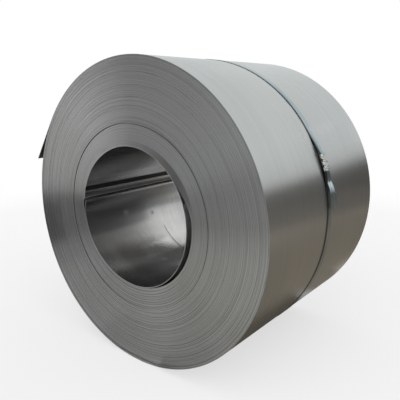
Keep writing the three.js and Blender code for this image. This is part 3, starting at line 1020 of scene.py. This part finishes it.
def flat_card(name, corners, material, soft=0.0):
    """A flat face with its corners given in order, and how far in from its outline it fades."""
    corners = np.array([tuple(corner) for corner in corners])
    count = len(corners)
    mesh = bpy.data.meshes.new(name)
    if soft:
        inner = corners + (corners.mean(0) - corners) * soft
        faces = [tuple(range(count, 2 * count))]
        faces += [(i, (i + 1) % count, count + (i + 1) % count, count + i) for i in range(count)]
        mesh.from_pydata(np.concatenate([corners, inner]).tolist(), [], faces)
        inside = mesh.attributes.new("inside", "FLOAT", "POINT")
        inside.data.foreach_set("value", np.repeat([0.0, 1.0], count).astype(np.float32))
    else:
        mesh.from_pydata(corners.tolist(), [], [tuple(range(count))])
    mesh.materials.append(material)
    card = new_object(name, mesh)
    return card


def mirrored_card(name, corners, level, tint=PLAIN, soft=0.0):
    """A studio card that the metal mirrors and nothing else sees."""
    card = flat_card(name, corners, card_material(name, level, tint, soft), soft)
    card.visible_camera = card.visible_diffuse = card.visible_shadow = card.visible_transmission = False


def level_quad(west, east, south, north, height):
    return [(west, south, height), (east, south, height), (east, north, height), (west, north, height)]


def level_shape(height, *places):
    return [(x, y, height) for x, y in places]


def upright_shape(y, *places):
    return [(x, y, z) for x, z in places]


def sky_quad(distance, bearings, heights, centre=(0, 0, 0.6)):
    """Corners at a distance from a point: bearings from +Y towards +X, heights above its horizon."""
    corners = []
    for bearing, height in zip((bearings[0], bearings[1], bearings[1], bearings[0]),
                               (heights[0], heights[0], heights[1], heights[1])):
        turn, rise = math.radians(bearing), math.radians(height)
        aim = Vector((math.sin(turn) * math.cos(rise), math.cos(turn) * math.cos(rise), math.sin(rise)))
        corners.append(Vector(centre) + aim * distance)
    return corners


add_camera()
add_world()
flat_card("floor", level_quad(-30, 30, -30, 30, 0.0), floor_material())
add_panel()

# Where cards on the ground overlap, the higher one shows.
# What the barrel mirrors
mirrored_card("overcast", level_quad(-40, 40, -40, 40, 7.0), 0.99, COOL)
mirrored_card("skyline", sky_quad(8.0, (4, 40), (-8, 6.4)), 0.09, HAZE)
mirrored_card("skyline_right", sky_quad(7.9, (40, 64), (-8, 10.0)), 0.12, HAZE)
mirrored_card("ground_far", level_quad(0.8, 9.0, 1.5, 12.0, 0.010), 0.15, EARTH)
mirrored_card("ground_right", level_quad(0.42, 2.3, -0.5, 2.2, 0.012), 0.25, WARM)
mirrored_card("ground_near", level_quad(0.10, 0.50, -0.42, 0.33, 0.014), 0.09, WARM)
mirrored_card("ground_under", level_quad(-0.5, 0.12, -0.39, 0.45, 0.013), 0.08, WARM)
mirrored_card("ground_close", level_quad(-0.6, 0.42, 0.42, 0.74, 0.010), 0.25, EARTH)
mirrored_card("ground_behind", level_quad(-0.6, 0.42, 0.74, 1.4, 0.010), 0.7, EARTH)
mirrored_card("ground_back_left", level_quad(-4.0, -0.6, -0.35, 4.0, 0.011), 0.12, EARTH)

# What the bore mirrors, out through its far end
mirrored_card("bore_lamp", upright_shape(
    0.76, (0.16, 0.88), (0.23, 0.82), (0.31, 0.66), (0.50, 0.62), (0.50, 1.00), (0.30, 1.08),
    (0.16, 1.11)), 2.9)
mirrored_card("bore_lamp_top", upright_shape(
    0.76, (-0.42, 1.0), (-0.07, 1.0), (0.09, 0.93), (0.16, 0.88), (0.16, 1.11), (0.10, 1.12),
    (-0.42, 1.12)), 4.0)
mirrored_card("bore_flag", upright_shape(
    0.75, (-1.2, 0.0), (0.02, 0.0), (0.10, 0.56), (0.27, 0.60), (0.20, 0.80), (0.07, 0.90), (-0.08, 0.97),
    (-0.42, 1.0), (-1.2, 1.0)), 0.17)
mirrored_card("bore_glow", upright_shape(
    0.745, (-0.08, 0.26), (-0.02, 0.18), (0.03, 0.16), (0.17, 0.20), (0.27, 0.40), (0.29, 0.52), (0.18, 0.56),
    (0.08, 0.46), (-0.06, 0.40)), 2.6)
mirrored_card("bore_side", upright_shape(
    0.75, (0.33, 0.33), (0.56, 0.33), (0.56, 0.62), (0.50, 0.62), (0.31, 0.66)), 0.38)

# A hoop behind the rim, which hides the bore's lamps from the top of the barrel
SCREEN_ANGLES = np.arange(28, 151, 6)
SCREEN_OUTSIDE = polar(0.590, SCREEN_ANGLES)
SCREEN_INSIDE = polar(0.525, SCREEN_ANGLES[::-1])
screen = np.concatenate([SCREEN_OUTSIDE, SCREEN_INSIDE]) + (0, COIL_RADIUS)
mirrored_card("rim_screen", upright_shape(0.45, *screen), 1.05, COOL)

# What the near end mirrors
END_CENTRE = (0, -0.4, 0.8)
mirrored_card("end_flag", sky_quad(3.6, (-178, -106), (3, 42), END_CENTRE), 0.34)
mirrored_card("end_lamp", sky_quad(3.5, (-130, -84), (0, 38), END_CENTRE), 2.0, soft=0.35)
mirrored_card("ground_left", level_shape(
    0.012, (-3.3, -1.5), (-2.5, -1.95), (-1.40, -1.95), (-1.32, 0.9), (-3.3, 0.9)), 0.03)
mirrored_card("ground_left_front", level_shape(
    0.012, (-2.5, -1.95), (-2.1, -2.15), (-1.75, -2.42), (-1.45, -2.9), (-1.15, -3.1), (-1.40, -1.95)), 0.08)
mirrored_card("ground_left_edge", level_shape(
    0.011, (-1.41, -2.2), (-1.0, -2.2), (-1.0, 0.9), (-1.31, 0.9)), 0.45)
mirrored_card("ground_front_far", level_quad(-1.2, 0.6, -3.2, -2.35, 0.012), 0.12)
mirrored_card("camera_side", sky_quad(5.0, (166, 192), (-9, 4), END_CENTRE), 0.38)
mirrored_card("ground_left_far", level_shape(
    0.0115, (-3.0, -1.6), (-2.6, -2.0), (-2.2, -2.4), (-2.2, -3.4), (-6.0, -3.4), (-6.0, -0.4),
    (-3.4, -0.4)), 1.5)
mirrored_card("far_left", sky_quad(4.6, (-150, -98), (-9, 2), END_CENTRE), 1.5, soft=0.25)
mirrored_card("ground_front", level_quad(-1.3, 0.6, -3.0, -0.50, 0.009), 0.72, PALE)
mirrored_card("ground_foot", level_quad(-0.35, 0.36, -0.62, -0.385, 0.011), 0.48, PALE, 0.4)
mirrored_card("ground_glow", level_quad(-0.75, 0.3, -1.8, -0.75, 0.011), 1.0, PALE, 0.5)

bpy.context.scene.view_settings.view_transform = "Standard"
